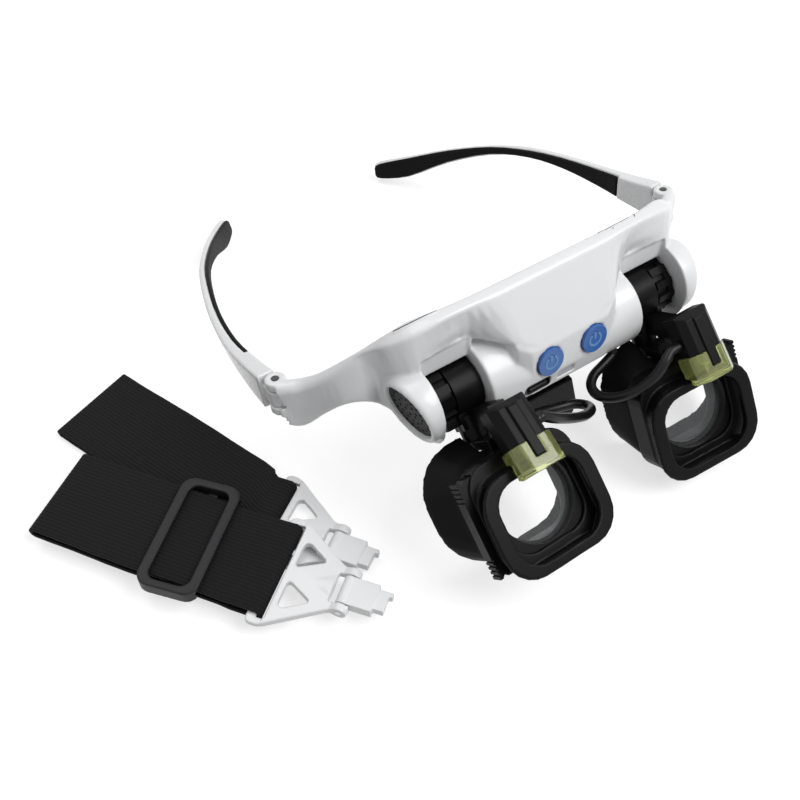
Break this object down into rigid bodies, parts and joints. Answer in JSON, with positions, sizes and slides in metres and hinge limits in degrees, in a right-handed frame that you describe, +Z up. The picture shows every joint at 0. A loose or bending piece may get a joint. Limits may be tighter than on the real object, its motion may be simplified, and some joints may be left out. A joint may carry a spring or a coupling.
{
  "type": "lighted headband magnifier",
  "caption": "Magnifying glasses with flip-up lens holders, each under its own lamp, folding temples and a charging port, beside a webbing headband whose clips replace the temples.",
  "frame": {"origin": "under the middle of everything as it stands, on the surface that it stands on", "axes": "+X to the viewer's right across the front of the glasses, -Y the side that the lenses face, +Z up"},
  "size_m": [0.2514, 0.2134, 0.0753],
  "materials": {
    "white_shell": "satin moulded",
    "cover_grey": "fine texture",
    "dark_disc": "dimpled",
    "steel": "turned",
    "grey_window": "diffusing",
    "board_green": "solder mask",
    "cell_sleeve": "shrink sleeve",
    "switch_dark": "moulded",
    "black_plastic": "satin moulded",
    "soft_black": "soft matte",
    "cable_black": "smooth jacket",
    "button_blue": "satin",
    "white_temple": "glossy moulded",
    "cap_clear": "clear moulded",
    "led_body": "domed",
    "lens_clear": "polished",
    "webbing_black": "woven elastic",
    "white_clip": "satin moulded"
  },
  "bodies": {
    "frame": {"front_shell": "white_shell", "rear_cover": "cover_grey", "left_ear_disc": "dark_disc", "right_ear_disc": "dark_disc", "charging_port": "steel", "indicator_window": "grey_window", "circuit_board": "board_green", "rechargeable_cell": "cell_sleeve", "push_switches": "switch_dark", "nose_bridge": "black_plastic", "nose_pad": "soft_black", "left_flip_axle": "steel", "right_flip_axle": "steel", "left_hinge_pin": "steel", "right_hinge_pin": "steel", "cover_screws": "steel", "cable_glands": "cable_black", "left_lamp_lead": "cable_black", "right_lamp_lead": "cable_black"},
    "left_button": {"left_button": "button_blue"},
    "right_button": {"right_button": "button_blue"},
    "left_temple": {"left_temple": "white_temple", "left_temple_lining": "soft_black"},
    "right_temple": {"right_temple": "white_temple", "right_temple_lining": "soft_black"},
    "left_flip": {"left_flip_bracket": "black_plastic", "left_lamp_housing": "black_plastic", "left_lamp_cap": "cap_clear", "left_led": "led_body"},
    "right_flip": {"right_flip_bracket": "black_plastic", "right_lamp_housing": "black_plastic", "right_lamp_cap": "cap_clear", "right_led": "led_body"},
    "left_holder": {"left_lens_holder": "black_plastic", "left_eye_cup": "soft_black"},
    "right_holder": {"right_lens_holder": "black_plastic", "right_eye_cup": "soft_black"},
    "left_plate": {"left_lens_plate": "black_plastic", "left_lens": "lens_clear"},
    "right_plate": {"right_lens_plate": "black_plastic", "right_lens": "lens_clear"},
    "headband": {"headband_webbing": "webbing_black", "rear_clip": "white_clip", "front_clip": "white_clip", "rear_plug_pin": "steel", "front_plug_pin": "steel"},
    "strap_slider": {"strap_slider": "black_plastic"},
    "rear_plug": {"rear_plug": "white_clip"},
    "front_plug": {"front_plug": "white_clip"}
  },
  "joints": [
    {"name": "left_button_press", "type": "slide", "parent": "frame", "child": "left_button", "axis": [0, 0.9781, -0.2079], "range_m": [0, 0.0007], "stiffness_N_per_m": 800},
    {"name": "right_button_press", "type": "slide", "parent": "frame", "child": "right_button", "axis": [0, 0.9781, -0.2079], "range_m": [0, 0.0007], "stiffness_N_per_m": 800},
    {"name": "left_temple_fold", "type": "hinge", "parent": "frame", "child": "left_temple", "pos_m": [-0.041, -0.0123, 0.046], "axis": [0, -0.2079, -0.9781], "range_deg": [0, 72]},
    {"name": "right_temple_fold", "type": "hinge", "parent": "frame", "child": "right_temple", "pos_m": [0.122, -0.0123, 0.046], "axis": [0, 0.2079, 0.9781], "range_deg": [-7.3, 54]},
    {"name": "left_flip", "type": "hinge", "parent": "frame", "child": "left_flip", "pos_m": [0.0035, -0.04453, 0.04345], "axis": [-1, 0, 0], "range_deg": [-39.2, 48.8], "deforming": ["left_lamp_lead"]},
    {"name": "right_flip", "type": "hinge", "parent": "frame", "child": "right_flip", "pos_m": [0.0775, -0.04453, 0.04345], "axis": [-1, 0, 0], "range_deg": [-22.5, 65.5], "deforming": ["right_lamp_lead"]},
    {"name": "left_holder_swivel", "type": "hinge", "parent": "left_flip", "child": "left_holder", "pos_m": [0.0035, -0.04541, 0.04454], "axis": [0, 0.7793, 0.6266], "range_deg": [-9, 3.5]},
    {"name": "right_holder_swivel", "type": "hinge", "parent": "right_flip", "child": "right_holder", "pos_m": [0.0775, -0.04569, 0.04424], "axis": [0, -0.5664, -0.8241], "range_deg": [-11.4, 1.1]},
    {"name": "left_plate_slide", "type": "slide", "parent": "left_holder", "child": "left_plate", "axis": [-0.9994, -0.0219, 0.0272], "range_m": [0, 0.03]},
    {"name": "right_plate_slide", "type": "slide", "parent": "right_holder", "child": "right_plate", "axis": [0.9971, -0.0632, 0.0435], "range_m": [0, 0.03]},
    {"name": "headband_lift_off", "type": "slide", "parent": "frame", "child": "headband", "axis": [0, 0, 1], "range_m": [0, 0.1]},
    {"name": "slider_along_strap", "type": "slide", "parent": "headband", "child": "strap_slider", "axis": [0.5693, -0.8221, 0], "range_m": [-0.03, 0.007]},
    {"name": "rear_plug_tilt", "type": "hinge", "parent": "headband", "child": "rear_plug", "pos_m": [-0.04544, -0.05131, 0.0029], "axis": [-0.829, -0.5592, 0], "range_deg": [0, 20]},
    {"name": "front_plug_tilt", "type": "hinge", "parent": "headband", "child": "front_plug", "pos_m": [-0.05205, -0.06946, 0.0073], "axis": [-0.7986, -0.6018, 0], "range_deg": [0, 45]}
  ]
}
